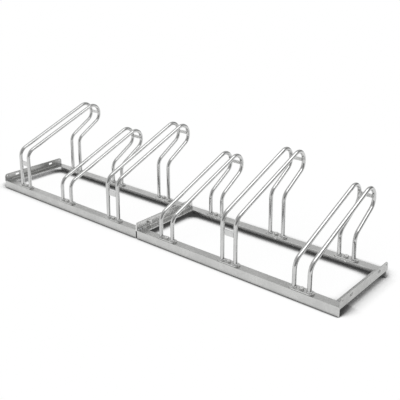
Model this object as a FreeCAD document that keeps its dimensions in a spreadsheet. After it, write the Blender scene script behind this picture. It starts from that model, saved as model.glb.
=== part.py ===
import FreeCAD, Part
import math
import os
import Sketcher

# Floor bike rack for six bicycles, made of two equal modules that are bolted end to end.
# Each module is a rectangular frame of steel angle that lies on the floor, with three wheel
# holders. A wheel holder is a pair of bent round tubes with a tyre's width between them. The
# holders stand high and low in turn, so that the handlebars of neighbours pass each other.
#
# Frame: X runs along the rack, Y from its front, where the wheels go in, to its rear, and Z up.
# The origin is on the floor, under the middle of the whole rack's box. Millimetres.

Vector = FreeCAD.Vector

SHEET_ROWS = [
    ("module_length", 1050, "one module, between the outer faces of its end bars"),
    ("frame_depth", 390, "floor frame, from the front rail's face to the rear rail's face"),
    ("place_pitch", 350, "from one wheel place to the next in a module"),
    ("angle_leg", 40, "leg of the steel angle"),
    ("angle_wall", 4, "thickness of the steel angle"),
    ("angle_root_radius", 5, "inner corner of the steel angle"),
    ("angle_toe_radius", 2.5, "rounded toes of the steel angle"),
    ("end_corner_radius", 16, "rounded upper corners of an end bar"),
    ("slot_length", 24, "joining slot in an end bar, along the bar"),
    ("slot_spacing", 230, "between the two joining slots of an end bar"),
    ("slot_level", 24, "joining slots above the underside of the end bar"),
    ("vent_diameter", 7, "zinc drain hole near each end of an end bar"),
    ("vent_inset", 15, "zinc drain hole from the end of the end bar"),
    ("vent_level", 28, "zinc drain hole above the underside of the end bar"),
    ("tube_diameter", 18, "outside of the bent tubes"),
    ("tube_wall", 2, "wall of the bent tubes"),
    ("tyre_gap", 50, "clear gap between the two tubes of a place"),
    ("bend_radius", 50, "tube bends, on the centreline"),
    ("shoulder_height", 150, "corner above the front leg of a low place, above the floor"),
    ("head_height", 350, "upper head corner of a low place, above the floor"),
    ("head_reach", 136, "head centreline behind the face of the rear rail"),
    ("head_straight", 6, "straight run of the tube between the two bends of its head"),
    ("lower_slope", 30.5, "slope of the run from the head down to the rear leg, degrees"),
    ("high_rise", 90, "how much higher the high places are"),
    ("head_bar_height", 15, "short bar between the heads, tall"),
    ("head_bar_thickness", 5, "short bar between the heads, thick"),
    ("front_bar_height", 25, "flat bar between the front legs of a high place, tall"),
    ("front_bar_thickness", 5, "flat bar between the front legs of a high place, thick"),
    ("front_bar_drop", 68, "middle of that bar below the corner above the front leg"),
    ("foot_plate_overhang", 12, "foot plate beyond the tube, at each end"),
    ("foot_plate_margin", 5, "foot plate, narrower than the leg of the rail that it lies on"),
    ("foot_plate_thickness", 5, "foot plate"),
    ("bolt_diameter", 10, "shank of a foot bolt or joining bolt"),
    ("bolt_length", 25, "shank of a bolt, under its head"),
    ("hexagon_width", 17, "bolt head and nut, across flats"),
    ("bolt_head_height", 6.4, "head of a bolt"),
    ("nut_height", 8, "nut"),
    ("washer_diameter", 20, "washer"),
    ("washer_thickness", 2, "washer"),
    ("hole_clearance", 1, "bolt holes and joining slots, wider than the shank"),
    ("nut_clearance", 0.2, "bore of a nut or washer, wider than the shank"),
]

MODULE_NAMES = ("left_module", "right_module")
PLACES_IN_MODULE = 3
HEX_SIDES = 6
HALF_TURN = 180
TOLERANCE = 0.01

# Formulas on the sheet that several pieces share.
HEAD_FROM_FACE = "(Sizes.frame_depth + Sizes.head_reach)"
OVERALL_DEPTH = f"({HEAD_FROM_FACE} + Sizes.tube_diameter / 2)"
FRONT_FACE = f"(-{OVERALL_DEPTH} / 2)"
REAR_FACE = f"({FRONT_FACE} + Sizes.frame_depth)"
LEG_SETBACK = "(Sizes.angle_leg / 2)"
LEG_SPAN = f"(Sizes.frame_depth - 2 * {LEG_SETBACK})"
HEAD_SPAN = f"({HEAD_FROM_FACE} - {LEG_SETBACK})"
PLATE_TOP = "(Sizes.angle_leg + Sizes.foot_plate_thickness)"
END_BAR_UNDERSIDE = "(Sizes.angle_leg - Sizes.angle_wall)"
TUBE_OFFSET = "((Sizes.tyre_gap + Sizes.tube_diameter) / 2)"
BOLT_HOLE = "(Sizes.bolt_diameter + Sizes.hole_clearance)"
NUT_BORE = "(Sizes.bolt_diameter + Sizes.nut_clearance)"
UPPER_SLOPE = f"atan((Sizes.head_height - Sizes.shoulder_height) / {HEAD_SPAN})"
LOWER_SLOPE = "(Sizes.lower_slope * 1 deg)"
UPPER_BEND_LEG = f"(Sizes.bend_radius * tan((90 deg + {UPPER_SLOPE}) / 2))"
LOWER_BEND_LEG = f"(Sizes.bend_radius * tan((90 deg - {LOWER_SLOPE}) / 2))"
HEAD_FALL = f"({UPPER_BEND_LEG} + Sizes.head_straight + {LOWER_BEND_LEG})"
REAR_CORNER_DROP = f"({HEAD_FALL} + ({HEAD_SPAN} - {LEG_SPAN}) * tan({LOWER_SLOPE}))"


def make_sheet(document):
    """Writes the driving dimensions into a sheet, one row each, and returns the sheet."""
    table = document.addObject("Spreadsheet::Sheet", "Sizes")
    for row, (alias, size, meaning) in enumerate(SHEET_ROWS, start=1):
        table.set(f"A{row}", meaning)
        table.set(f"B{row}", str(size))
        table.setAlias(f"B{row}", alias)
    document.recompute()
    return table


def value(formula):
    """The number that a formula on the sheet gives now."""
    result = sheet.evalExpression(formula)
    return float(getattr(result, "Value", result))


def place(piece, x="0", y="0", z="0", turn=0, axis=Vector(0, 0, 1)):
    """Turns a piece about an axis of its own and puts its origin at x, y, z, given as formulas."""
    piece.Placement = FreeCAD.Placement(Vector(0, 0, 0), FreeCAD.Rotation(axis, turn))
    for letter, formula in (("x", x), ("y", y), ("z", z)):
        piece.setExpression(f".Placement.Base.{letter}", formula)


# Sketch helpers.

def new_sketch(body, name, plane, level=None):
    """An empty sketch on one of the body's own planes, or at a level above that plane."""
    sketch = body.newObject("Sketcher::SketchObject", name)
    support = [item for item in body.Origin.OriginFeatures if item.Role == plane]
    sketch.AttachmentSupport = [(support[0], "")]
    sketch.MapMode = "FlatFace"
    if level is not None:
        sketch.setExpression(".AttachmentOffset.Base.z", level)
    return sketch


def size_constraint(sketch, kind, formula, *geometry):
    """Adds a constraint whose size follows a formula on the sheet."""
    number = sketch.addConstraint(Sketcher.Constraint(kind, *geometry, value(formula)))
    sketch.setExpression(f"Constraints[{number}]", formula)


def pin(sketch, geometry, point, across, up):
    """Holds a point of the sketch at two distances from its origin."""
    size_constraint(sketch, "DistanceX", across, -1, 1, geometry, point)
    size_constraint(sketch, "DistanceY", up, -1, 1, geometry, point)


def circle(sketch, across, up, diameter):
    """Adds a circle."""
    shape = Part.Circle(Vector(value(across), value(up), 0), Vector(0, 0, 1), value(diameter) / 2)
    number = sketch.addGeometry(shape, False)
    pin(sketch, number, 3, across, up)
    size_constraint(sketch, "Diameter", diameter, number)


def slot(sketch, across, up, length, width):
    """Adds a slot with round ends, its long way across the sketch."""
    middle = Vector(value(across), value(up), 0)
    radius = value(width) / 2
    half = Vector(value(length) / 2 - radius, 0, 0)
    side = Vector(0, radius, 0)
    quarter = math.pi / 2
    right_end = Part.Circle(middle + half, Vector(0, 0, 1), radius)
    left_end = Part.Circle(middle - half, Vector(0, 0, 1), radius)
    right = sketch.addGeometry(Part.ArcOfCircle(right_end, -quarter, quarter), False)
    upper = sketch.addGeometry(Part.LineSegment(middle + half + side, middle - half + side), False)
    left = sketch.addGeometry(Part.ArcOfCircle(left_end, quarter, 3 * quarter), False)
    lower = sketch.addGeometry(Part.LineSegment(middle - half - side, middle + half - side), False)
    loop = (right, upper, left, lower)
    for first, second in zip(loop, loop[1:] + loop[:1]):
        sketch.addConstraint(Sketcher.Constraint("Tangent", first, 2, second, 1))
    reach = f"({length} - ({width})) / 2"
    pin(sketch, right, 3, f"{across} + {reach}", up)
    pin(sketch, left, 3, f"{across} - {reach}", up)
    size_constraint(sketch, "Radius", f"({width}) / 2", right)


def bend(before, corner, after, radius):
    """The tangent arc at a corner: where it starts and ends, its arc, and whether it turns left."""
    way_in = (corner - before).normalize()
    way_out = (after - corner).normalize()
    turn = math.atan2(way_in.x * way_out.y - way_in.y * way_out.x, way_in.dot(way_out))
    reach = radius * math.tan(abs(turn) / 2)
    start = corner - way_in * reach
    end = corner + way_out * reach
    left = turn > 0
    inward = Vector(-way_in.y, way_in.x, 0) * (radius if left else -radius)
    centre = start + inward
    first, last = (start, end) if left else (end, start)
    angles = [math.atan2(spot.y - centre.y, spot.x - centre.x) for spot in (first, last)]
    arc = Part.ArcOfCircle(Part.Circle(centre, Vector(0, 0, 1), radius), *angles)
    return start, end, arc, left


def outline(sketch, corners, closed=True):
    """Adds straight runs from corner to corner, with a tangent arc at each corner that has one.

    corners holds (across, up, radius) as formulas, and radius is None where the corner is sharp.
    """
    spots = [Vector(value(across), value(up), 0) for across, up, _ in corners]
    count = len(corners)
    bends = {}
    for number, (_, _, radius) in enumerate(corners):
        if radius is not None:
            after = spots[(number + 1) % count]
            bends[number] = bend(spots[number - 1], spots[number], after, value(radius))
    lines = []
    for number in range(count if closed else count - 1):
        following = (number + 1) % count
        start = bends[number][1] if number in bends else spots[number]
        end = bends[following][0] if following in bends else spots[following]
        lines.append(sketch.addGeometry(Part.LineSegment(start, end), False))
    for number, (across, up, radius) in enumerate(corners):
        leaving = lines[number] if number < len(lines) else None
        arriving = lines[number - 1] if closed or number > 0 else None
        if number in bends:
            arc_in, arc_out = (1, 2) if bends[number][3] else (2, 1)
            arc = sketch.addGeometry(bends[number][2], False)
            sketch.addConstraint(Sketcher.Constraint("Tangent", arriving, 2, arc, arc_in))
            sketch.addConstraint(Sketcher.Constraint("Tangent", arc, arc_out, leaving, 1))
            size_constraint(sketch, "Radius", radius, arc)
            corner = sketch.addGeometry(Part.Point(spots[number]), True)
            sketch.addConstraint(Sketcher.Constraint("PointOnObject", corner, 1, arriving))
            sketch.addConstraint(Sketcher.Constraint("PointOnObject", corner, 1, leaving))
            pin(sketch, corner, 1, across, up)
        elif leaving is None:
            pin(sketch, arriving, 2, across, up)
        else:
            if arriving is not None:
                sketch.addConstraint(Sketcher.Constraint("Coincident", arriving, 2, leaving, 1))
            pin(sketch, leaving, 1, across, up)


def rectangle(sketch, left, low, right, high):
    """Adds a rectangle between two corners."""
    outline(sketch, [(left, low, None), (right, low, None), (right, high, None), (left, high, None)])


# Feature helpers.

def pad(body, name, sketch, length, both_ways=False, downward=False):
    """Adds material along the sketch's normal, in one direction or half each way."""
    feature = body.newObject("PartDesign::Pad", name)
    feature.Profile = sketch
    feature.setExpression("Length", length)
    feature.SideType = "Symmetric" if both_ways else "One side"
    feature.Reversed = downward
    return feature


def cut_through(body, name, sketch):
    """Cuts the sketch's outline right through the body, both ways from the sketch."""
    feature = body.newObject("PartDesign::Pocket", name)
    feature.Profile = sketch
    feature.Type = "ThroughAll"
    feature.SideType = "Symmetric"
    return feature


def repeat(body, name, direction, count, spacing, backward=False):
    """Repeats the whole body along a direction, and makes that the body's result."""
    feature = body.newObject("PartDesign::LinearPattern", name)
    feature.TransformMode = "Whole shape"
    feature.Direction = direction
    feature.Reversed = backward
    feature.Mode = "Spacing"
    feature.Occurrences = count
    feature.setExpression("Offset", spacing)
    body.Tip = feature


def new_body(name):
    """An empty body whose label is the name of the node."""
    body = doc.addObject("PartDesign::Body", name)
    body.Label = name
    return body


def angle_section(sketch, flip):
    """Adds the section of the steel angle, its outer corner at the origin.

    One leg goes up and the other goes across. With flip the second leg is at the top of the first.
    """
    base, tip, inner = "0", "Sizes.angle_leg", "Sizes.angle_wall"
    if flip:
        base, tip, inner = "Sizes.angle_leg", "0", "(Sizes.angle_leg - Sizes.angle_wall)"
    toe = "Sizes.angle_toe_radius"
    corners = [
        ("0", base, None),
        ("Sizes.angle_leg", base, None),
        ("Sizes.angle_leg", inner, toe),
        ("Sizes.angle_wall", inner, "Sizes.angle_root_radius"),
        ("Sizes.angle_wall", tip, toe),
        ("0", tip, None),
    ]
    outline(sketch, corners)


# Floor frame.

def make_rail(name):
    """Angle rail along a module: one leg upright on the floor, the other on top, pointing inward.

    Its own origin is on the floor, at the middle of its outer face, and the rail goes to +Y.
    """
    body = new_body(name)
    section = new_sketch(body, "RailSection", "YZ_Plane")
    angle_section(section, flip=True)
    pad(body, "RailAngle", section, "Sizes.module_length - 2 * Sizes.angle_wall", both_ways=True)
    holes = new_sketch(body, "FootBoltHoles", "XY_Plane")
    for number in range(PLACES_IN_MODULE):
        across = f"{number - (PLACES_IN_MODULE - 1) / 2} * Sizes.place_pitch"
        circle(holes, across, LEG_SETBACK, BOLT_HOLE)
    cut_through(body, "FootBoltHolesCut", holes)
    return body


def make_end_bar(name):
    """Angle bar across the end of a module, with its upright leg outside.

    Its own origin is at the middle of its length, at the foot of its outer face, and the lower
    leg goes to +X. The lower leg is cut back at both ends, so that it fits between the rails.
    """
    body = new_body(name)
    section = new_sketch(body, "BarSection", "XZ_Plane")
    angle_section(section, flip=False)
    pad(body, "BarAngle", section, "Sizes.frame_depth", both_ways=True)

    copes = new_sketch(body, "RailCopes", "XY_Plane")
    half = "Sizes.frame_depth / 2"
    inner = f"({half} - Sizes.angle_leg)"
    far = "2 * Sizes.angle_leg"
    rectangle(copes, "Sizes.angle_wall", inner, far, half)
    rectangle(copes, "Sizes.angle_wall", f"-({half})", far, f"-{inner}")
    cut_through(body, "RailCopesCut", copes)

    holes = new_sketch(body, "SlotsAndVents", "YZ_Plane")
    for side in ("-1", "1"):
        across = f"{side} * Sizes.slot_spacing / 2"
        slot(holes, across, "Sizes.slot_level", "Sizes.slot_length", BOLT_HOLE)
        vent = f"{side} * ({half} - Sizes.vent_inset)"
        circle(holes, vent, "Sizes.vent_level", "Sizes.vent_diameter")
    cut_through(body, "SlotsAndVentsCut", holes)

    trim = new_sketch(body, "CornerTrim", "YZ_Plane")
    round_end = "Sizes.end_corner_radius"
    rectangle(trim, f"-{half} - {far}", f"-{far}", f"{half} + {far}", far)
    outline(trim, [
        (f"-({half})", f"-{far} / 2", None),
        (half, f"-{far} / 2", None),
        (half, "Sizes.angle_leg", round_end),
        (f"-({half})", "Sizes.angle_leg", round_end),
    ])
    cut_through(body, "CornerTrimCut", trim)
    return body


def make_frame(number, module):
    """The two rails and two end bars of a module."""
    centre = module_centre(number)
    front = make_rail(f"{module}_front_rail")
    place(front, centre, FRONT_FACE)
    rear = make_rail(f"{module}_rear_rail")
    place(rear, centre, REAR_FACE, turn=HALF_TURN)
    middle = f"{FRONT_FACE} + Sizes.frame_depth / 2"
    left = make_end_bar(f"{module}_left_end_bar")
    place(left, f"{centre} - Sizes.module_length / 2", middle, END_BAR_UNDERSIDE)
    right = make_end_bar(f"{module}_right_end_bar")
    place(right, f"{centre} + Sizes.module_length / 2", middle, END_BAR_UNDERSIDE, turn=HALF_TURN)
    return [front, rear, left, right]


def module_centre(number):
    """Formula for the middle of a module along X."""
    return f"{number - (len(MODULE_NAMES) - 1) / 2} * Sizes.module_length"


# Wheel places.

def make_tube(name, rise):
    """Bent tube: up the front leg, along the slope to the head, round it and down the rear leg.

    Its own origin is at the foot of the front leg, and the tube stays in its own YZ plane.
    """
    body = new_body(name)
    ring = new_sketch(body, "TubeSection", "XY_Plane")
    circle(ring, "0", "0", "Sizes.tube_diameter")
    circle(ring, "0", "0", "Sizes.tube_diameter - 2 * Sizes.tube_wall")
    line = new_sketch(body, "TubeLine", "YZ_Plane")
    head = f"(Sizes.head_height + {rise} - {PLATE_TOP})"
    shoulder = f"(Sizes.shoulder_height + {rise} - {PLATE_TOP})"
    radius = "Sizes.bend_radius"
    corners = [
        ("0", "0", None),
        ("0", shoulder, radius),
        (HEAD_SPAN, head, radius),
        (HEAD_SPAN, f"{head} - {HEAD_FALL}", radius),
        (LEG_SPAN, f"{head} - {REAR_CORNER_DROP}", radius),
        (LEG_SPAN, "0", None),
    ]
    outline(line, corners, closed=False)
    pipe = body.newObject("PartDesign::AdditivePipe", "BentTube")
    pipe.Profile = ring
    pipe.Spine = line
    return body


def make_crossbar(name, height, thickness):
    """Flat bar with square ends that fills the gap between two tubes, about its own origin."""
    body = new_body(name)
    face = new_sketch(body, "BarFace", "XZ_Plane")
    half_gap = "Sizes.tyre_gap / 2"
    rectangle(face, f"-{half_gap}", f"-({height}) / 2", half_gap, f"({height}) / 2")
    pad(body, "FlatBar", face, thickness, both_ways=True)
    return body


def make_foot_plate(name):
    """Plate with round ends that two legs of a place stand on, with a bolt hole in the middle."""
    body = new_body(name)
    shape = new_sketch(body, "PlateOutline", "XY_Plane")
    legs = "Sizes.tyre_gap + 2 * Sizes.tube_diameter"
    slot(shape, "0", "0", f"({legs} + 2 * Sizes.foot_plate_overhang)",
         "Sizes.angle_leg - Sizes.foot_plate_margin")
    circle(shape, "0", "0", BOLT_HOLE)
    pad(body, "Plate", shape, "Sizes.foot_plate_thickness")
    return body


def make_place(name, centre, high):
    """The tubes, crossbars and foot plates of one wheel place."""
    rise = "Sizes.high_rise" if high else "0"
    front_leg = f"{FRONT_FACE} + {LEG_SETBACK}"
    rear_leg = f"{REAR_FACE} - {LEG_SETBACK}"
    pieces = []
    for side, sign in (("left", "-"), ("right", "+")):
        tube = make_tube(f"{name}_{side}_tube", rise)
        place(tube, f"{centre} {sign} {TUBE_OFFSET}", front_leg, PLATE_TOP)
        pieces.append(tube)

    head_bar = make_crossbar(f"{name}_head_crossbar", "Sizes.head_bar_height",
                             "Sizes.head_bar_thickness")
    head_line = f"{FRONT_FACE} + {HEAD_FROM_FACE}"
    place(head_bar, centre, head_line, f"Sizes.head_height + {rise} - {UPPER_BEND_LEG}")
    pieces.append(head_bar)

    if high:
        front_bar = make_crossbar(f"{name}_front_crossbar", "Sizes.front_bar_height",
                                  "Sizes.front_bar_thickness")
        level = f"Sizes.shoulder_height + {rise} - Sizes.front_bar_drop"
        place(front_bar, centre, front_leg, level)
        pieces.append(front_bar)

    for end, line in (("front", front_leg), ("rear", rear_leg)):
        plate = make_foot_plate(f"{name}_{end}_foot_plate")
        place(plate, centre, line, "Sizes.angle_leg")
        pieces.append(plate)
    return pieces


# Fasteners. Each is made about the Z axis of its own frame, with its head at the top.

def add_hexagon(body, height, level):
    """Adds a hexagonal block that stands at a level, with its upper corners chamfered."""
    block = body.newObject("PartDesign::AdditivePrism", "Hexagon")
    plane = [item for item in body.Origin.OriginFeatures if item.Role == "XY_Plane"]
    block.AttachmentSupport = [(plane[0], "")]
    block.MapMode = "FlatFace"
    block.setExpression(".AttachmentOffset.Base.z", level)
    block.Polygon = HEX_SIDES
    corner = "(Sizes.hexagon_width / sqrt(3))"
    block.setExpression("Circumradius", corner)
    block.setExpression("Height", height)

    section = new_sketch(body, "ChamferSection", "XZ_Plane")
    top = f"({level} + {height})"
    flat = "(0.48 * Sizes.hexagon_width)"
    outside = f"({corner} * 1.1)"
    slope = f"({top} - ({outside} - {flat}) * tan(30))"
    outline(section, [(flat, top, None), (outside, slope, None), (outside, top, None)])
    chamfer = body.newObject("PartDesign::Groove", "HexagonChamfer")
    chamfer.Profile = section
    chamfer.ReferenceAxis = (section, ["V_Axis"])
    chamfer.Angle = 360


def make_bolts(name):
    """Hexagon bolt: its head stands on the origin, and its shank goes down from there."""
    body = new_body(name)
    add_hexagon(body, "Sizes.bolt_head_height", "0")
    section = new_sketch(body, "ShankSection", "XY_Plane")
    circle(section, "0", "0", "Sizes.bolt_diameter")
    pad(body, "Shank", section, "Sizes.bolt_length", downward=True)
    return body, section


def make_nuts(name, depth):
    """Hexagon nut, with its upper face at a depth below the origin."""
    body = new_body(name)
    section = new_sketch(body, "NutBore", "XY_Plane")
    add_hexagon(body, "Sizes.nut_height", f"(-{depth} - Sizes.nut_height)")
    circle(section, "0", "0", NUT_BORE)
    cut_through(body, "NutBoreCut", section)
    return body, section


def make_washers(name):
    """Flat washer, with its upper face on the origin."""
    body = new_body(name)
    section = new_sketch(body, "WasherSection", "XY_Plane")
    circle(section, "0", "0", "Sizes.washer_diameter")
    circle(section, "0", "0", NUT_BORE)
    pad(body, "Washer", section, "Sizes.washer_thickness", downward=True)
    return body, section


def make_foot_fasteners():
    """Bolts, washers and nuts that hold the foot plates on the rails."""
    grip = "(Sizes.washer_thickness + Sizes.foot_plate_thickness + Sizes.angle_wall)"
    groups = [
        make_bolts("foot_bolts"),
        make_washers("foot_bolt_washers"),
        make_nuts("foot_bolt_nuts", grip),
    ]
    first_x = f"{module_centre(0)} - {(PLACES_IN_MODULE - 1) / 2} * Sizes.place_pitch"
    for body, section in groups:
        doc.recompute()
        repeat(body, "AlongModule", (section, ["H_Axis"]), PLACES_IN_MODULE, "Sizes.place_pitch")
        repeat(body, "ModuleToModule", (section, ["H_Axis"]), len(MODULE_NAMES),
               "Sizes.module_length")
        repeat(body, "FrontToRear", (section, ["V_Axis"]), 2, LEG_SPAN)
        place(body, first_x, f"{FRONT_FACE} + {LEG_SETBACK}",
              f"{PLATE_TOP} + Sizes.washer_thickness")
    return [body for body, _ in groups]


def make_joint_fasteners():
    """Bolts, washers and nuts that join the two modules through the slots of their end bars."""
    walls = "(2 * Sizes.angle_wall)"
    bolts = make_bolts("joining_bolts")
    washers = make_washers("joining_washers")
    nuts = make_nuts("joining_nuts", f"({walls} + 2 * Sizes.washer_thickness)")
    doc.recompute()
    repeat(washers[0], "BothSides", (washers[1], ["N_Axis"]), 2,
           f"{walls} + Sizes.washer_thickness", backward=True)
    for body, section in (bolts, washers, nuts):
        doc.recompute()
        repeat(body, "SlotToSlot", (section, ["V_Axis"]), 2, "Sizes.slot_spacing")
        first_y = f"{FRONT_FACE} + (Sizes.frame_depth - Sizes.slot_spacing) / 2"
        place(body, "-Sizes.angle_wall - Sizes.washer_thickness", first_y,
              f"{END_BAR_UNDERSIDE} + Sizes.slot_level", turn=-90, axis=Vector(0, 1, 0))
    return [bolts[0], washers[0], nuts[0]]


# Building, checking and writing.

def make_rack():
    """Makes every piece of the rack and returns the bodies, one for each node."""
    nodes = []
    for number, module in enumerate(MODULE_NAMES):
        nodes += make_frame(number, module)
        for step in range(PLACES_IN_MODULE):
            count = number * PLACES_IN_MODULE + step
            shift = f"{step - (PLACES_IN_MODULE - 1) / 2} * Sizes.place_pitch"
            centre = f"({module_centre(number)} + {shift})"
            nodes += make_place(f"place_{count + 1}", centre, high=count % 2 == 0)
    nodes += make_foot_fasteners()
    nodes += make_joint_fasteners()
    return nodes


def check_document(document, nodes):
    """Stops if any object failed, any cut removed nothing, or any node has no valid solid."""
    for item in document.Objects:
        if {"Invalid", "Error"} & set(item.State):
            raise RuntimeError(f"{item.Label} did not compute: {item.State}")
        if item.TypeId == "PartDesign::Pocket" or item.TypeId == "PartDesign::Groove":
            removed = item.BaseFeature.Shape.Volume - item.Shape.Volume
            if removed < TOLERANCE:
                raise RuntimeError(f"{item.Label} cuts nothing")
    for node in nodes:
        shape = node.Shape
        if shape.isNull() or not shape.isValid() or not shape.Solids:
            raise RuntimeError(f"{node.Label} has no valid solid")


def check_tube(tube, line):
    """Stops if a tube's volume isn't that of its section along its centreline."""
    outer = value("Sizes.tube_diameter")
    inner = outer - 2 * value("Sizes.tube_wall")
    section = math.pi * (outer ** 2 - inner ** 2) / 4
    expected = section * line.Shape.Length
    if abs(tube.Shape.Volume - expected) > TOLERANCE * expected:
        raise RuntimeError(f"{tube.Label} has {tube.Shape.Volume:.0f} mm3, not {expected:.0f}")


os.makedirs("parts", exist_ok=True)
doc = FreeCAD.newDocument("FloorBikeRack")
sheet = make_sheet(doc)
bodies = make_rack()
doc.recompute()
check_document(doc, bodies)
for one in bodies:
    if one.Label.endswith("_tube"):
        check_tube(one, one.Tip.Spine[0])
for one in bodies:
    one.Shape.exportStep(f"parts/{one.Label}.step")
solids = sum(len(one.Shape.Solids) for one in bodies)
print(f"{len(bodies)} nodes, {solids} solids")
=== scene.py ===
"""Floor bike rack for six bicycles: finishes, weld beads and threaded bolts on its CAD frame.

Metres throughout. X runs along the rack, Y from its front to its rear, and Z up.
"""
import logging
import math
import random
from dataclasses import dataclass, field
from enum import Enum
from typing import Any, Iterable, Sequence

import bmesh
import bpy
from mathutils import Matrix, Vector


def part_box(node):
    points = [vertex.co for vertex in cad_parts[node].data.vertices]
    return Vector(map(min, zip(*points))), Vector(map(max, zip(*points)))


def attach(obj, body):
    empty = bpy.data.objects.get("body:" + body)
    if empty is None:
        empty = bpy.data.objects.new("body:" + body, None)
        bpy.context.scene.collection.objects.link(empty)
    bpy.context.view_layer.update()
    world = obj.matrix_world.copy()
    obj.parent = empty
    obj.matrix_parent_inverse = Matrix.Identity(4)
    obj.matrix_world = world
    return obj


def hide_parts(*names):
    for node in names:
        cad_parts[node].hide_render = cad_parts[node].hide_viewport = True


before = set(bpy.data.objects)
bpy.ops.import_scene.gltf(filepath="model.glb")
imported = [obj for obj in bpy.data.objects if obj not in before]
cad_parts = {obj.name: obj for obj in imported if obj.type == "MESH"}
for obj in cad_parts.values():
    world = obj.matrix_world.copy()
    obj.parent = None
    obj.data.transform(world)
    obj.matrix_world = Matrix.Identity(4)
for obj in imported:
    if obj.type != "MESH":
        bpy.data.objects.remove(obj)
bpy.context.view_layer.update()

MM = 0.001
BODY = "root"
Colour = tuple[float, float, float]
PATCH_EDGES = (0.3, 0.7)
FINE_DETAIL = 3.0

log = logging.getLogger("bike_rack")


class Slot(Enum):
    """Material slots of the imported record."""

    GALVANISED = "galvanised_steel"
    ZINC_PLATED = "zinc_plated_steel"


class Section(Enum):
    """How far a weld bead's cross section turns: a fillet in a corner, or a cap on a seam."""

    FILLET = math.pi / 2
    CAP = math.pi


# Shader nodes.

@dataclass(frozen=True)
class Signal:
    """A node's output. Arithmetic on it adds Math nodes."""

    tree: "NodeTree"
    socket: bpy.types.NodeSocket | None

    def _math(self, operation: str, first: Any, second: Any) -> "Signal":
        """Adds one Math node.

        Args:
            operation: What the node does.
            first: Its first value or link.
            second: Its second value or link.

        Returns:
            The node's output.
        """
        return self.tree.add("ShaderNodeMath", {"operation": operation}, {0: first, 1: second})

    def __add__(self, other: Any) -> "Signal":
        """This value plus another."""
        return self._math("ADD", self, other)

    def __radd__(self, other: Any) -> "Signal":
        """Another value plus this one."""
        return self._math("ADD", other, self)

    def __rsub__(self, other: Any) -> "Signal":
        """Another value less this one."""
        return self._math("SUBTRACT", other, self)

    def __mul__(self, other: Any) -> "Signal":
        """This value times another."""
        return self._math("MULTIPLY", self, other)

    def __rmul__(self, other: Any) -> "Signal":
        """Another value times this one."""
        return self._math("MULTIPLY", other, self)

    def step(self, low: float, high: float) -> "Signal":
        """Rises smoothly from 0 at one value to 1 at another.

        Args:
            low: Where the result is 0.
            high: Where the result is 1.

        Returns:
            The smooth step.
        """
        return self.tree.add("ShaderNodeMapRange", {"interpolation_type": "SMOOTHSTEP"},
                             {"Value": self, "From Min": low, "From Max": high})


class NodeTree:
    """The nodes of one material or of the world."""

    def __init__(self, owner: Any) -> None:
        """Starts with no nodes.

        Args:
            owner: The material or world that the nodes belong to.
        """
        owner.use_nodes = True
        self.nodes = owner.node_tree.nodes
        self.links = owner.node_tree.links
        self.nodes.clear()

    def add(self, kind: str, settings: dict[str, Any] | None = None,
            inputs: dict[Any, Any] | None = None, output: int | str = 0) -> Signal:
        """Adds a node, sets it and then fills its sockets.

        Args:
            kind: The node's type.
            settings: Its properties by name.
            inputs: Values or links of its sockets, by name or number.
            output: Which output is returned, where the node has any.

        Returns:
            That output.
        """
        node = self.nodes.new(kind)
        for key, setting in (settings or {}).items():
            setattr(node, key, setting)
        for key, source in (inputs or {}).items():
            if isinstance(source, Signal):
                self.links.new(source.socket, node.inputs[key])
            else:
                node.inputs[key].default_value = source
        return Signal(self, node.outputs[output] if node.outputs else None)

    def blend(self, factor: Any, first: Any, second: Any) -> Signal:
        """Mixes two colours.

        Args:
            factor: 0 for the first colour and 1 for the second.
            first: A colour or a link.
            second: A colour or a link.

        Returns:
            The mixed colour.
        """
        colours = [(*c, 1.0) if isinstance(c, tuple) else c for c in (first, second)]
        return self.add("ShaderNodeMix", {"data_type": "RGBA"},
                        {0: factor, 6: colours[0], 7: colours[1]}, output=2)

    def channel(self, colour: Signal, name: str) -> Signal:
        """One channel of a colour, as a number."""
        return self.add("ShaderNodeSeparateColor", None, {0: colour}, output=name)

    def noise(self, where: Signal, size: float, detail: float = 2.0,
              output: str = "Fac") -> Signal:
        """Smooth noise.

        Args:
            where: The place on the surface.
            size: The size of its blotches.
            detail: How many finer layers it has.
            output: Its number or its colour.

        Returns:
            The noise.
        """
        return self.add("ShaderNodeTexNoise", None,
                        {"Vector": where, "Scale": 1 / size, "Detail": detail}, output=output)

    def seen_directly(self) -> Signal:
        """1 for rays that show a background: from the camera, or by way of metal or glass."""
        paths = [self.add("ShaderNodeLightPath", None, None, output=name)
                 for name in ("Is Camera Ray", "Is Glossy Ray", "Is Transmission Ray")]
        return (paths[0] + paths[1] + paths[2]).step(0.0, 1.0)


# Finishes.

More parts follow.
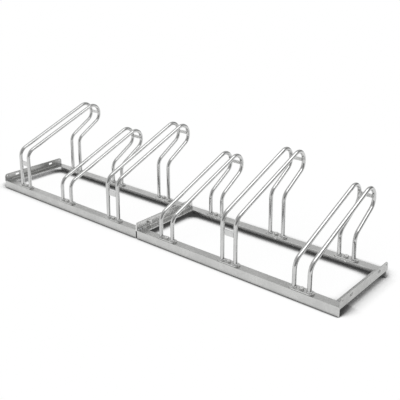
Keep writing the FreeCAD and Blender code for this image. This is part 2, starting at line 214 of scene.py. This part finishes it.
@dataclass(frozen=True)
class GalvanisedSteel:
    """Hot-dip zinc: grey crystals, faint clouds, and a skin that is a little uneven."""

    name: str
    dark: Colour = (0.49, 0.492, 0.485)
    light: Colour = (0.58, 0.582, 0.572)
    crystal_size: float = 9 * MM
    cloud_size: float = 90 * MM
    grain_size: float = 1.6 * MM
    smoothest: float = 0.26
    roughest: float = 0.42
    relief: float = 0.12 * MM
    bend: float = 0.8
    facet_share: float = 0.4
    cloud_share: float = 0.45
    grain_share: float = 0.15
    gloss_share: float = 0.6
    grain_height: float = 0.6
    bump_strength: float = 0.35

    def build(self) -> bpy.types.Material:
        """Makes the material.

        Returns:
            The finished material.
        """
        material = bpy.data.materials.new(self.name)
        tree = NodeTree(material)
        where = tree.add("ShaderNodeTexCoord", None, None, output="Object")
        drift = tree.noise(where, self.crystal_size, output="Color")
        spread = (self.crystal_size * self.bend,) * 3
        bent = tree.add("ShaderNodeVectorMath", {"operation": "MULTIPLY_ADD"},
                        {0: drift, 1: spread, 2: where})
        crystals = tree.add("ShaderNodeTexVoronoi", None,
                            {"Vector": bent, "Scale": 1 / self.crystal_size}, output="Color")
        facet = tree.channel(crystals, "Red")
        gloss = tree.channel(crystals, "Green")
        clouds = tree.noise(where, self.cloud_size, FINE_DETAIL).step(*PATCH_EDGES)
        grain = tree.noise(where, self.grain_size, FINE_DETAIL)
        tone = facet * self.facet_share + clouds * self.cloud_share + grain * self.grain_share
        colour = tree.blend(tone, self.dark, self.light)
        span = self.roughest - self.smoothest
        roughness = self.smoothest + span * (gloss * self.gloss_share
                                             + (1 - clouds) * (1 - self.gloss_share))
        height = grain * self.grain_height + facet * (1 - self.grain_height)
        normal = tree.add("ShaderNodeBump", None, {
            "Strength": self.bump_strength, "Distance": self.relief, "Height": height})
        shader = tree.add("ShaderNodeBsdfPrincipled", None, {
            "Base Color": colour, "Metallic": 1.0, "Roughness": roughness, "Normal": normal})
        tree.add("ShaderNodeOutputMaterial", None, {"Surface": shader})
        return material


@dataclass(frozen=True)
class ZincPlate:
    """Satin zinc plate of bolts, nuts and washers, with rubbed and duller patches."""

    name: str = "zinc_plate"
    dull: Colour = (0.68, 0.68, 0.67)
    bright: Colour = (0.88, 0.88, 0.87)
    patch_size: float = 6 * MM
    scratch_size: float = 0.5 * MM
    stretch: tuple[float, float, float] = (1.0, 0.12, 1.0)
    patch_share: float = 0.8
    roughness: float = 0.32
    patch_gloss: float = 0.16
    scratch_gloss: float = 0.1
    relief: float = 0.05 * MM
    bump_strength: float = 0.2

    def build(self) -> bpy.types.Material:
        """Makes the material.

        Returns:
            The finished material.
        """
        material = bpy.data.materials.new(self.name)
        tree = NodeTree(material)
        where = tree.add("ShaderNodeTexCoord", None, None, output="Object")
        patches = tree.noise(where, self.patch_size, FINE_DETAIL).step(*PATCH_EDGES)
        stretched = tree.add("ShaderNodeVectorMath", {"operation": "MULTIPLY"},
                             {0: where, 1: self.stretch})
        scratches = tree.noise(stretched, self.scratch_size)
        tone = patches * self.patch_share + scratches * (1 - self.patch_share)
        colour = tree.blend(tone, self.dull, self.bright)
        roughness = (self.roughness + self.patch_gloss * (1 - patches)
                     + self.scratch_gloss * scratches)
        normal = tree.add("ShaderNodeBump", None, {
            "Strength": self.bump_strength, "Distance": self.relief, "Height": scratches})
        shader = tree.add("ShaderNodeBsdfPrincipled", None, {
            "Base Color": colour, "Metallic": 1.0, "Roughness": roughness, "Normal": normal})
        tree.add("ShaderNodeOutputMaterial", None, {"Surface": shader})
        return material


@dataclass(frozen=True)
class PaleFloor:
    """White floor that draws the rack's shadow itself, and is plain backdrop far from it.

    Near the rack nine tenths of what is seen is the floor's own white, not light from the lamps.
    It darkens where steel is close by in the direction of one fixed place, at which no lamp
    stands, and once more in the thin line where steel meets floor.
    """

    name: str = "pale_floor"
    colour: Colour = (1.0, 1.0, 1.0)
    shaded: Colour = (0.05, 0.05, 0.05)
    contact: float = 100 * MM
    contact_span: tuple[float, float] = (0.66, 0.92)
    seam: float = 16 * MM
    seam_span: tuple[float, float] = (0.5, 0.85)
    seam_shade: Colour = (0.10, 0.10, 0.10)
    shade_towards: Vector = Vector((1.8, -1.5, 1.3))
    shadow_samples: int = 16
    own_white: float = 0.9
    near: float = 1.6
    far: float = 2.6

    def build(self) -> bpy.types.Material:
        """Makes the material.

        Returns:
            The finished material.
        """
        material = bpy.data.materials.new(self.name)
        tree = NodeTree(material)
        where = tree.add("ShaderNodeNewGeometry", None, None, output="Position")
        distance = tree.add("ShaderNodeVectorMath", {"operation": "LENGTH"}, {0: where},
                            output="Value")
        away = self.own_white + (1 - self.own_white) * distance.step(self.near, self.far)
        towards = tree.add("ShaderNodeVectorMath", {"operation": "SUBTRACT"},
                           {0: self.shade_towards, 1: where})
        leaning = tree.add("ShaderNodeVectorMath", {"operation": "NORMALIZE"}, {0: towards})
        samples = {"samples": self.shadow_samples}
        open_sky = tree.add("ShaderNodeAmbientOcclusion", samples,
                            {"Distance": self.contact, "Normal": leaning}, output="AO")
        seam_sky = tree.add("ShaderNodeAmbientOcclusion", samples,
                            {"Distance": self.seam}, output="AO")
        bright = tree.blend(seam_sky.step(*self.seam_span), self.seam_shade, self.colour)
        colour = tree.blend(open_sky.step(*self.contact_span), self.shaded, bright)
        paper = tree.add("ShaderNodeBsdfDiffuse", None, {"Color": colour})
        backdrop = tree.add("ShaderNodeEmission", None, {"Color": colour})
        mixed = tree.add("ShaderNodeMixShader", None,
                         {0: away * tree.seen_directly(), 1: paper, 2: backdrop})
        tree.add("ShaderNodeOutputMaterial", None, {"Surface": mixed})
        return material


# Meshes.

class Draft:
    """Collects the closed surfaces of one added piece."""

    def __init__(self) -> None:
        """Starts with no surfaces."""
        self.mesh = bmesh.new()

    def loft(self, rings: Sequence[Sequence[Vector]], closed: bool = False) -> None:
        """Adds a surface through rings of equal count, closed on itself or capped at its ends.

        Args:
            rings: The rings' points, in order.
            closed: Whether the last ring joins the first.
        """
        rows = [[self.mesh.verts.new(point) for point in ring] for ring in rings]
        following = rows[1:] + (rows[:1] if closed else [])
        for row, after in zip(rows, following):
            for here in range(len(row)):
                there = (here + 1) % len(row)
                self.mesh.faces.new((row[here], row[there], after[there], after[here]))
        if not closed:
            self.mesh.faces.new(rows[0])
            self.mesh.faces.new(rows[-1])

    def build(self, name: str, material: bpy.types.Material, slot: Slot,
              crease: float = 40.0) -> bpy.types.Object:
        """Turns the surfaces into an object that rides on the rack.

        Args:
            name: The object's name.
            material: Its finish.
            slot: The record's slot for that finish; not used.
            crease: Edges that turn more than this, in degrees, stay sharp.

        Returns:
            The object.
        """
        bmesh.ops.recalc_face_normals(self.mesh, faces=self.mesh.faces[:])
        mesh = bpy.data.meshes.new(name)
        self.mesh.to_mesh(mesh)
        self.mesh.free()
        mesh.shade_smooth()
        mesh.set_sharp_from_angle(angle=math.radians(crease))
        mesh.materials.append(material)
        piece = bpy.data.objects.new(name, mesh)
        bpy.context.scene.collection.objects.link(piece)
        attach(piece, BODY)
        log.info("%s: %d faces", name, len(mesh.polygons))
        return piece


@dataclass
class Bead:
    """A hand-laid weld bead of overlapping ripples."""

    leg: float = 4 * MM
    crown: float = 4 * MM
    ripple: float = 3 * MM
    ripple_depth: float = 0.10
    unevenness: float = 0.10
    sink: float = 0.4 * MM
    steps_per_ripple: int = 5
    arc_steps: int = 5
    waves: int = 3
    hump_middle: float = 0.6
    end_share: float = 0.15
    end_sharpness: int = 6
    rng: random.Random = field(default_factory=lambda: random.Random(7))

    def _swell(self, count: int, looped: bool) -> list[float]:
        """How wide the bead is at each step, as a share of its size.

        Args:
            count: How many steps there are.
            looped: Whether the last step is next to the first.

        Returns:
            One share for each step.
        """
        phases = [self.rng.uniform(0, math.tau) for _ in range(self.waves)]
        shares = []
        for step in range(count):
            along = step / count
            wave = sum(math.sin(math.tau * along * (turn + 1) + phase)
                       for turn, phase in enumerate(phases)) / len(phases)
            hump = abs(math.sin(math.pi * step / self.steps_per_ripple))
            share = 1 + self.unevenness * wave + self.ripple_depth * (hump - self.hump_middle)
            if not looped:
                from_middle = abs(2 * (step + 0.5) / count - 1)
                share *= max(self.end_share, 1 - from_middle ** self.end_sharpness)
            shares.append(share)
        return shares

    def _ring(self, corner: Vector, side: Vector, up: Vector, share: float,
              section: Section) -> list[Vector]:
        """The points of one cross section, sunk a little into the steel.

        Args:
            corner: The corner or seam that the bead lies in.
            side: Along one surface.
            up: Along the other surface, or away from a seam.
            share: Its size at this step.
            section: A fillet or a cap.

        Returns:
            The points in order.
        """
        leg, crown = self.leg * share, self.crown * share
        arc = []
        for step in range(self.arc_steps + 1):
            turn = section.value * step / self.arc_steps
            arc.append((leg * math.cos(turn), crown * math.sin(turn)))
        if section is Section.FILLET:
            points = [(-self.sink, -self.sink), (leg, -self.sink), *arc, (-self.sink, crown)]
        else:
            points = [(leg, -self.sink), *arc, (-leg, -self.sink)]
        return [corner + side * a + up * b for a, b in points]

    def run(self, draft: Draft, start: Vector, end: Vector, side: Vector, up: Vector,
            section: Section = Section.FILLET) -> None:
        """Lays a straight bead.

        Args:
            draft: The piece that it belongs to.
            start: Where the corner or seam begins.
            end: Where it ends.
            side: Along one surface.
            up: Along the other surface, or away from a seam.
            section: A fillet or a cap.
        """
        way = end - start
        count = max(4, round(way.length / self.ripple)) * self.steps_per_ripple
        rings = [self._ring(start + way * (step / (count - 1)), side, up, share, section)
                 for step, share in enumerate(self._swell(count, looped=False))]
        draft.loft(rings)

    def round(self, draft: Draft, centre: Vector, radius: float) -> None:
        """Lays a bead round the foot of an upright tube.

        Args:
            draft: The piece that it belongs to.
            centre: The middle of the tube's foot.
            radius: The tube's outer radius.
        """
        count = round(math.tau * radius / self.ripple) * self.steps_per_ripple
        begin = self.rng.uniform(0, math.tau)
        rings = []
        for step, share in enumerate(self._swell(count, looped=True)):
            turn = begin + math.tau * step / count
            out = Vector((math.cos(turn), math.sin(turn), 0))
            rings.append(self._ring(centre + out * radius, out, Vector((0, 0, 1)), share,
                                    Section.FILLET))
        draft.loft(rings, closed=True)


@dataclass
class Bolt:
    """A hexagon bolt: chamfered head, washer face and threaded shank."""

    flats: float = 17 * MM
    head: float = 6.4 * MM
    shank: float = 10 * MM
    length: float = 25 * MM
    thread: float = 16 * MM
    pitch: float = 1.5 * MM
    thread_depth: float = 0.8 * MM
    face: float = 0.4 * MM
    face_share: float = 0.47
    under_share: float = 0.95
    under_rise: float = 2.2
    chamfer: float = 30.0
    chamfer_share: float = 0.475
    chamfer_steps: int = 6
    hollow: float = 0.3 * MM
    rim_share: float = 0.86
    hollow_share: float = 0.3
    overlap: float = 0.2 * MM
    around: int = 48
    rows_per_turn: int = 6

    def _hexagon(self, height: float, limit: float) -> list[Vector]:
        """A hexagon's outline, cut off where a circle is smaller.

        Args:
            height: How high it lies.
            limit: The circle's radius.

        Returns:
            The outline's points.
        """
        points = []
        for step in range(self.around):
            turn = math.tau * step / self.around
            off_flat = (turn + math.pi / 6) % (math.pi / 3) - math.pi / 6
            reach = min(self.flats / 2 / math.cos(off_flat), limit)
            points.append(Vector((math.cos(turn) * reach, math.sin(turn) * reach, height)))
        return points

    def _head_rings(self) -> list[list[Vector]]:
        """The rings of the head, from its washer face up to its top."""
        corner = self.flats / math.sqrt(3)
        washer_face = self.flats * self.face_share
        rings = [self._hexagon(0, washer_face), self._hexagon(self.face, washer_face),
                 self._hexagon(self.face, corner * self.under_share),
                 self._hexagon(self.face * self.under_rise, corner)]
        slope = math.tan(math.radians(self.chamfer))
        edge = self.flats * self.chamfer_share
        for step in range(self.chamfer_steps + 1):
            limit = corner + (edge - corner) * step / self.chamfer_steps
            rings.append(self._hexagon(self.head - (limit - edge) * slope, limit))
        for share in (self.rim_share, self.hollow_share):
            rings.append(self._hexagon(self.head - self.hollow, edge * share))
        return rings

    def _shank_rings(self) -> list[list[Vector]]:
        """The rings of the shank, from the head down to its chamfered tip."""
        plain = self.length - self.thread
        major, minor = self.shank / 2, self.shank / 2 - self.thread_depth
        count = round(self.thread / self.pitch * self.rows_per_turn)
        depths = [-self.overlap, plain]
        depths += [plain + self.thread * (row + 1) / count for row in range(count)]
        rings = []
        for depth in depths:
            ring = []
            cut = min(1.0, max(0.0, (depth - plain) / self.pitch))
            tip = max(0.0, depth - self.length + self.thread_depth)
            for step in range(self.around // 2):
                share = step / (self.around // 2)
                phase = (depth / self.pitch + share) % 1
                ridge = abs(2 * phase - 1)
                radius = min(major - (major - minor) * ridge * cut, major - tip)
                turn = math.tau * share
                ring.append(Vector((math.cos(turn) * radius, math.sin(turn) * radius, -depth)))
            rings.append(ring)
        return rings

    def place(self, draft: Draft, frame_of_bolt: Matrix) -> None:
        """Adds one bolt.

        Args:
            draft: The piece that it belongs to.
            frame_of_bolt: Where the underside of its head is, with Z out through the head.
        """
        for rings in (self._head_rings(), self._shank_rings()):
            draft.loft([[frame_of_bolt @ point for point in ring] for ring in rings])


# Sub-assemblies.

def dress(names: Iterable[str], material: bpy.types.Material) -> None:
    """Gives CAD nodes a finish.

    Args:
        names: The nodes.
        material: The finish.
    """
    for name in names:
        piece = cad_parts[name]
        for slot in piece.material_slots:
            slot.material = material
        log.info("%s: %s", name, material.name)


@dataclass
class FloorFrame:
    """The angle rails and end bars of both modules, with the welds at their corners.

    It is all one kind of steel. The outer end bars are painted darker than the rails, as painted
    shade, and the joint bars lighter, as painted light.
    """

    rail_finish: GalvanisedSteel = GalvanisedSteel(
        "galvanised_rail", dark=(0.53, 0.532, 0.525), light=(0.62, 0.622, 0.612))
    # Painted shade: a darker copy of the rails' steel for the outer end bars.
    shaded_outer_bar_finish: GalvanisedSteel = GalvanisedSteel(
        "galvanised_outer_bar_painted_darker", dark=(0.43, 0.432, 0.425), light=(0.52, 0.522, 0.512))
    # Painted light: a lighter copy of the rails' steel for the two bars at the joint.
    lit_joint_bar_finish: GalvanisedSteel = GalvanisedSteel(
        "galvanised_joint_bar_painted_lighter", dark=(0.65, 0.652, 0.645), light=(0.75, 0.752, 0.742))
    joint_bars: tuple[str, ...] = ("left_module_right_end_bar", "right_module_left_end_bar")
    weld_finish: GalvanisedSteel = GalvanisedSteel(
        "galvanised_weld", dark=(0.30, 0.305, 0.31), light=(0.50, 0.505, 0.51),
        crystal_size=3 * MM, smoothest=0.32, roughest=0.5)
    modules: tuple[str, ...] = ("left_module", "right_module")
    fillet: Bead = field(default_factory=Bead)
    seam: Bead = field(default_factory=lambda: Bead(leg=3.2 * MM, crown=1.4 * MM))
    wall: float = 4 * MM
    clear: float = 2 * MM
    root: float = 5 * MM

    def build(self) -> None:
        """Dresses the steel and lays the welds."""
        rail_steel, shaded_outer_steel, lit_joint_steel, weld = (finish.build() for finish in (
            self.rail_finish, self.shaded_outer_bar_finish, self.lit_joint_bar_finish, self.weld_finish))
        for module in self.modules:
            rails = [f"{module}_{end}_rail" for end in ("front", "rear")]
            bars = [f"{module}_{end}_end_bar" for end in ("left", "right")]
            dress(rails, rail_steel)
            for bar in bars:
                # Painted light and shade: the joint bars get the lighter copy, the outer bars the
                # darker one.
                dress([bar], lit_joint_steel if bar in self.joint_bars else shaded_outer_steel)
            draft = Draft()
            for bar in bars:
                for rail in rails:
                    self._weld_corner(draft, bar, rail)
            draft.build(f"{module}_corner_welds", weld, Slot.GALVANISED)

    def _weld_corner(self, draft: Draft, bar: str, rail: str) -> None:
        """Lays the two beads that join an end bar to a rail.

        Args:
            draft: The piece that they belong to.
            bar: The end bar's node.
            rail: The rail's node.
        """
        bar_low, bar_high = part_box(bar)
        rail_low, rail_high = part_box(rail)
        inward = 1 if "left_end" in bar else -1
        face = (bar_low.x if inward > 0 else bar_high.x) + inward * self.wall
        toe = bar_high.x if inward > 0 else bar_low.x
        front = "front" in rail
        inner = rail_high.y if front else rail_low.y
        outer = rail_low.y if front else rail_high.y
        step = self.clear if front else -self.clear
        top = rail_high.z
        side = Vector((inward, 0, 0))
        up = Vector((0, 0, 1))
        self.fillet.run(draft, Vector((face, outer + step, top)), Vector((face, inner - step, top)),
                        side, up)
        across = Vector((0, 1, 0))
        self.seam.run(draft, Vector((face + inward * self.root, inner, top)),
                      Vector((toe - inward * self.clear, inner, top)), across, up, Section.CAP)


@dataclass
class WheelPlaces:
    """The bent tubes, crossbars and foot plates of the six places, with their welds. The crossbars
    are painted lighter than the tubes, as painted light.
    """

    tube_finish: GalvanisedSteel = GalvanisedSteel(
        "galvanised_tube", dark=(0.54, 0.542, 0.54), light=(0.64, 0.642, 0.635),
        cloud_size=60 * MM, smoothest=0.15, roughest=0.23, relief=0.06 * MM)
    # Painted light: the front and head crossbars are lighter copies of the tubes' steel.
    lit_front_bar_finish: GalvanisedSteel = GalvanisedSteel(
        "galvanised_front_bar_painted_lighter", dark=(0.60, 0.602, 0.60), light=(0.72, 0.722, 0.715))
    lit_head_bar_finish: GalvanisedSteel = GalvanisedSteel(
        "galvanised_head_bar_painted_lighter", dark=(0.60, 0.602, 0.595), light=(0.70, 0.702, 0.692))
    plate_finish: GalvanisedSteel = GalvanisedSteel(
        "galvanised_plate", dark=(0.56, 0.562, 0.555), light=(0.70, 0.702, 0.692),
        crystal_size=7 * MM)
    weld_finish: GalvanisedSteel = GalvanisedSteel(
        "galvanised_tube_weld", dark=(0.48, 0.482, 0.48), light=(0.76, 0.762, 0.755),
        crystal_size=3 * MM, smoothest=0.35, roughest=0.55)
    count: int = 6
    tube_radius: float = 9 * MM
    bar_clear: float = 1 * MM
    foot_bead: Bead = field(default_factory=lambda: Bead(leg=3.4 * MM, crown=3.6 * MM))
    bar_bead: Bead = field(default_factory=lambda: Bead(leg=3 * MM, crown=2.6 * MM,
                                                        ripple=2.5 * MM))

    def build(self) -> None:
        """Dresses the steel and lays the welds of every place."""
        tube, lit_front_bar_steel, lit_head_bar_steel, plate, weld = (finish.build() for finish in (
            self.tube_finish, self.lit_front_bar_finish, self.lit_head_bar_finish, self.plate_finish,
            self.weld_finish))
        for number in range(1, self.count + 1):
            place = f"place_{number}"
            tubes = [f"{place}_{side}_tube" for side in ("left", "right")]
            bars = {f"{place}_head_crossbar": lit_head_bar_steel, f"{place}_front_crossbar": lit_front_bar_steel}
            bars = {name: finish for name, finish in bars.items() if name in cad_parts}
            plates = [f"{place}_{end}_foot_plate" for end in ("front", "rear")]
            dress(tubes, tube)
            # Painted light: the crossbars take their lighter copies of the steel here.
            for bar_name, bar_finish in bars.items():
                dress([bar_name], bar_finish)
            dress(plates, plate)
            draft = Draft()
            for tube_name in tubes:
                for plate_name in plates:
                    self._weld_foot(draft, tube_name, plate_name)
            for bar_name in bars:
                self._weld_bar(draft, bar_name)
            draft.build(f"{place}_welds", weld, Slot.GALVANISED)

    def _weld_foot(self, draft: Draft, tube: str, plate: str) -> None:
        """Lays the bead round a tube's foot.

        Args:
            draft: The piece that it belongs to.
            tube: The tube's node.
            plate: The foot plate's node.
        """
        tube_low, tube_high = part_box(tube)
        plate_low, plate_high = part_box(plate)
        foot = Vector(((tube_low.x + tube_high.x) / 2, (plate_low.y + plate_high.y) / 2,
                       plate_high.z))
        self.foot_bead.round(draft, foot, self.tube_radius)

    def _weld_bar(self, draft: Draft, bar: str) -> None:
        """Lays the upright beads at both ends of a crossbar, on its front and its back.

        Args:
            draft: The piece that they belong to.
            bar: The crossbar's node.
        """
        low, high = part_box(bar)
        half = (high.y - low.y) / 2
        gap = self.tube_radius - math.sqrt(self.tube_radius ** 2 - half ** 2)
        for x, inward in ((low.x - gap, 1), (high.x + gap, -1)):
            for y, outward in ((low.y, -1), (high.y, 1)):
                self.bar_bead.run(draft, Vector((x, y, low.z + self.bar_clear)),
                                  Vector((x, y, high.z - self.bar_clear)),
                                  Vector((inward, 0, 0)), Vector((0, outward, 0)))


@dataclass
class Fasteners:
    """The foot bolts and the joining bolts, with their washers and nuts."""

    finish: ZincPlate = ZincPlate()
    bolt: Bolt = field(default_factory=Bolt)
    crease: float = 25.0
    merge: float = 0.001 * MM

    def build(self) -> None:
        """Dresses washers and nuts, and puts threaded bolts in the place of the plain ones."""
        plate = self.finish.build()
        dress(("foot_bolt_washers", "foot_bolt_nuts", "joining_washers", "joining_nuts"), plate)
        self._replace("foot_bolts", Matrix.Identity(4), plate)
        self._replace("joining_bolts", Matrix.Rotation(-math.pi / 2, 4, "Y"), plate)

    def _replace(self, node: str, turn: Matrix, material: bpy.types.Material) -> None:
        """Makes threaded bolts where a node's plain ones are.

        Args:
            node: The CAD node of the plain bolts.
            turn: From a bolt's own Z axis to its axis on the rack.
            material: The finish.
        """
        draft = Draft()
        for corner in self._heads(node, turn):
            self.bolt.place(draft, Matrix.Translation(corner) @ turn)
        piece = draft.build(f"{node}_threaded", material, Slot.ZINC_PLATED, self.crease)
        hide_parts(node)

    def _heads(self, node: str, turn: Matrix) -> list[Vector]:
        """Where the undersides of a node's bolt heads are.

        Args:
            node: The CAD node of the bolts.
            turn: From a bolt's own Z axis to its axis on the rack.

        Returns:
            One point for each bolt.
        """
        graph = bmesh.new()
        graph.from_mesh(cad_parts[node].data)
        bmesh.ops.remove_doubles(graph, verts=graph.verts[:], dist=self.merge)
        heads = []
        waiting = set(graph.verts)
        while waiting:
            island = [waiting.pop()]
            for vert in island:
                for edge in vert.link_edges:
                    other = edge.other_vert(vert)
                    if other in waiting:
                        waiting.remove(other)
                        island.append(other)
            points = [turn.inverted() @ vert.co for vert in island]
            low = Vector([min(point[axis] for point in points) for axis in range(3)])
            high = Vector([max(point[axis] for point in points) for axis in range(3)])
            middle = (low + high) / 2
            heads.append(turn @ Vector((middle.x, middle.y, low.z + self.bolt.length)))
        graph.free()
        return sorted(heads, key=tuple)


# Studio.

@dataclass
class Studio:
    """The floor, the lamps, the world and the camera."""

    floor: PaleFloor = PaleFloor()
    floor_reach: float = 40.0
    ambient: float = 0.18
    key_power: float = 2.9
    key_spread: float = 70.0
    key_azimuth: float = -50.0
    key_elevation: float = 65.0
    overhead_place: Vector = Vector((1.35, 0.45, 2.4))
    overhead_aim: Vector = Vector((0, 0, 0.3))
    overhead_size: float = 1.7
    overhead_power: float = 16.0
    screen_right_foot: Colour = (0.24, 0.24, 0.24)
    screen_left_foot: Colour = (0.90, 0.90, 0.90)
    screen_head: Colour = (0.52, 0.52, 0.52)
    screen_radius: float = 6.0
    screen_low: float = 1.5
    screen_dark: float = 17.0
    screen_light: float = 45.0
    screen_top: float = 62.0
    screen_middle: float = 1.0
    screen_steps: int = 12
    screen_sides: int = 48
    camera_place: Vector = Vector((2.03636, -2.19976, 1.29803))
    azimuth: float = 40.45
    elevation: float = 14.68
    roll: float = -0.24
    focal_pixels: float = 654.87
    image_pixels: float = 400.0
    sensor: float = 36.0
    shift_y: float = -0.201

    def build(self) -> None:
        """Builds the studio."""
        self._lay_floor()
        self._light_world()
        self._shine_key()
        self._hang_overhead()
        self._hang_screen()
        self._place_camera()
        bpy.context.scene.view_settings.view_transform = "Standard"

    def _lay_floor(self) -> None:
        """Makes the floor."""
        reach = self.floor_reach
        mesh = bpy.data.meshes.new("floor")
        corners = [(-reach, -reach, 0), (reach, -reach, 0), (reach, reach, 0), (-reach, reach, 0)]
        mesh.from_pydata(corners, [], [(0, 1, 2, 3)])
        mesh.materials.append(self.floor.build())
        floor = bpy.data.objects.new("floor", mesh)
        bpy.context.scene.collection.objects.link(floor)

    def _light_world(self) -> None:
        """A white surround, dimmer for the light that it gives than for what is seen of it."""
        world = bpy.data.worlds.new("white_surround")
        bpy.context.scene.world = world
        tree = NodeTree(world)
        strength = self.ambient + (1 - self.ambient) * tree.seen_directly()
        surround = tree.add("ShaderNodeBackground", None,
                            {"Color": (1.0, 1.0, 1.0, 1.0), "Strength": strength})
        tree.add("ShaderNodeOutputWorld", None, {"Surface": surround})

    def _shine_key(self) -> None:
        """Lights the floor from the camera's side, as softly as a large light tent."""
        data = bpy.data.lights.new("key_light", "SUN")
        data.energy = self.key_power
        data.angle = math.radians(self.key_spread)
        key = bpy.data.objects.new("key_light", data)
        turn, tilt = math.radians(self.key_azimuth), math.radians(self.key_elevation)
        towards = Vector((math.cos(turn) * math.cos(tilt), math.sin(turn) * math.cos(tilt),
                          math.sin(tilt)))
        key.rotation_euler = towards.to_track_quat("Z", "Y").to_euler()
        key.visible_glossy = False
        bpy.context.scene.collection.objects.link(key)

    def _hang_overhead(self) -> None:
        """Hangs a square lamp that shows in gloss alone, as the sloping tubes' bright line."""
        data = bpy.data.lights.new("overhead_lamp", "AREA")
        data.size = self.overhead_size
        data.energy = self.overhead_power
        lamp = bpy.data.objects.new("overhead_lamp", data)
        lamp.location = self.overhead_place
        lamp.rotation_euler = (self.overhead_aim - self.overhead_place).to_track_quat(
            "-Z", "Y").to_euler()
        lamp.visible_diffuse = False
        bpy.context.scene.collection.objects.link(lamp)

    def _painted_reflection_material(self) -> bpy.types.Material:
        """Makes the screen's glowing material, a painted reflection: pale at its left foot, dark at
        its right and grey above.

        Returns:
            The finished material.
        """
        material = bpy.data.materials.new("reflection_glow")
        tree = NodeTree(material)
        where = tree.add("ShaderNodeNewGeometry", None, None, output="Position")
        height = tree.add("ShaderNodeSeparateXYZ", None, {0: where}, output="Z")
        aside = tree.add("ShaderNodeSeparateXYZ", None, {0: where}, output="X")
        shade = height.step(self.screen_radius * math.sin(math.radians(self.screen_dark)),
                            self.screen_radius * math.sin(math.radians(self.screen_light)))
        foot = tree.blend(aside.step(-self.screen_middle, self.screen_middle),
                          self.screen_left_foot, self.screen_right_foot)
        # Painted reflection: the sheet glows with these greys, and nothing but gloss sees it.
        reflection_glow = tree.add("ShaderNodeEmission", None, {
            "Color": tree.blend(shade, foot, self.screen_head)})
        tree.add("ShaderNodeOutputMaterial", None, {"Surface": reflection_glow})
        return material

    def _hang_screen(self) -> None:
        """Stands a ring of glowing sheet round the studio, a painted reflection that is no lamp.

        It is seen in gloss alone, and its glow paints the dark edges of the tubes.
        """
        sides = self.screen_sides
        points, faces = [], []
        for row in range(self.screen_steps + 1):
            level = math.radians(self.screen_low + (self.screen_top - self.screen_low)
                                 * row / self.screen_steps)
            reach = self.screen_radius * math.cos(level)
            for side in range(sides):
                turn = math.tau * side / sides
                points.append((math.cos(turn) * reach, math.sin(turn) * reach,
                               math.sin(level) * self.screen_radius))
                if row:
                    here, there = (row - 1) * sides + side, (row - 1) * sides + (side + 1) % sides
                    faces.append((here, there, there + sides, here + sides))
        mesh = bpy.data.meshes.new("painted_reflection_screen")
        mesh.from_pydata(points, [], faces)
        mesh.materials.append(self._painted_reflection_material())
        screen = bpy.data.objects.new("painted_reflection_screen", mesh)
        bpy.context.scene.collection.objects.link(screen)
        # Hidden from all rays but gloss, so the ring is only a painted reflection.
        for ray in ("camera", "diffuse", "transmission", "shadow"):
            setattr(screen, f"visible_{ray}", False)

    def _place_camera(self) -> None:
        """Puts the camera where the photograph was taken from."""
        turn, tilt, roll = (math.radians(a) for a in (self.azimuth, self.elevation, self.roll))
        ahead = Vector((-math.sin(turn) * math.cos(tilt), math.cos(turn) * math.cos(tilt),
                        -math.sin(tilt)))
        right = Vector((math.cos(turn), math.sin(turn), 0))
        up = right.cross(ahead)
        across = right * math.cos(roll) + up * math.sin(roll)
        upward = up * math.cos(roll) - right * math.sin(roll)
        data = bpy.data.cameras.new("camera")
        data.sensor_width = self.sensor
        data.lens = self.focal_pixels * self.sensor / self.image_pixels
        data.shift_y = self.shift_y
        camera = bpy.data.objects.new("camera", data)
        axes = Matrix((across, upward, -ahead)).transposed().to_4x4()
        camera.matrix_world = Matrix.Translation(self.camera_place) @ axes
        bpy.context.scene.collection.objects.link(camera)
        bpy.context.scene.camera = camera


def main() -> None:
    """Builds the scene in order."""
    logging.basicConfig(level=logging.INFO, format="%(message)s")
    Studio().build()
    FloorFrame().build()
    WheelPlaces().build()
    Fasteners().build()


if __name__ == "__main__":
    main()
